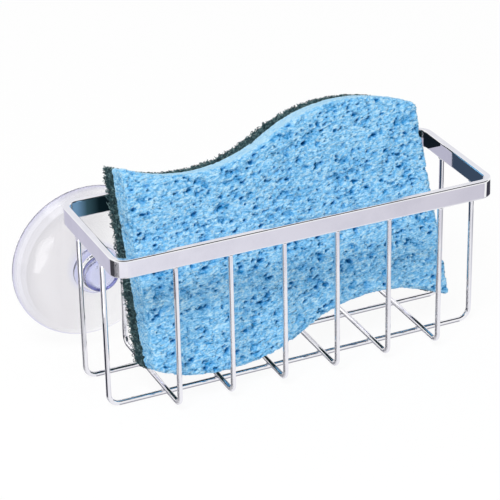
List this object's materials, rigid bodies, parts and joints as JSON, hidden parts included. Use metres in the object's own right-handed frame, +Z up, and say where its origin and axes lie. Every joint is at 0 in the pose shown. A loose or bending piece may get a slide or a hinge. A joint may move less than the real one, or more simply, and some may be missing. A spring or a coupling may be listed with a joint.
{
  "type": "sponge holder",
  "caption": "Chrome wire sponge basket with a flat band as its rim, suction cups held in wire eyes at the back, and a wavy two-layer sponge that lifts out.",
  "frame": {"origin": "centre of the object's box at its underside, on the surface that the floor wires stand on", "axes": "+X along the rim to the right as seen from the front, +Y towards the wall that the cups hold to, +Z up"},
  "size_m": [0.1574, 0.0608, 0.0864],
  "materials": {
    "chrome": "polished plate",
    "clear_vinyl": "glossy, translucent",
    "cellulose_foam": "open-pored sponge",
    "scour_fibre": "coarse matted fibre"
  },
  "bodies": {
    "basket": {"rim_band": "chrome", "cross_wire_1": "chrome", "cross_wire_2": "chrome", "cross_wire_3": "chrome", "cross_wire_4": "chrome", "cross_wire_5": "chrome", "cross_wire_6": "chrome", "long_wire_front": "chrome", "long_wire_rear": "chrome", "cup_ring_left": "chrome", "cup_ring_right": "chrome"},
    "cup_left": {"suction_cup_left": "clear_vinyl"},
    "cup_right": {"suction_cup_right": "clear_vinyl"},
    "sponge": {"sponge_foam": "cellulose_foam", "scour_pad": "scour_fibre"}
  },
  "joints": [
    {"name": "sponge_lift", "type": "slide", "parent": "basket", "child": "sponge", "axis": [0, 0, 1], "range_m": [0, 0.075]},
    {"name": "cup_spin_left", "type": "hinge", "parent": "basket", "child": "cup_left", "pos_m": [-0.05017, 0.02038, 0.0327], "axis": [0, 1, 0], "continuous": true},
    {"name": "cup_spin_right", "type": "hinge", "parent": "basket", "child": "cup_right", "pos_m": [0.04852, 0.02038, 0.0327], "axis": [0, 1, 0], "continuous": true}
  ]
}
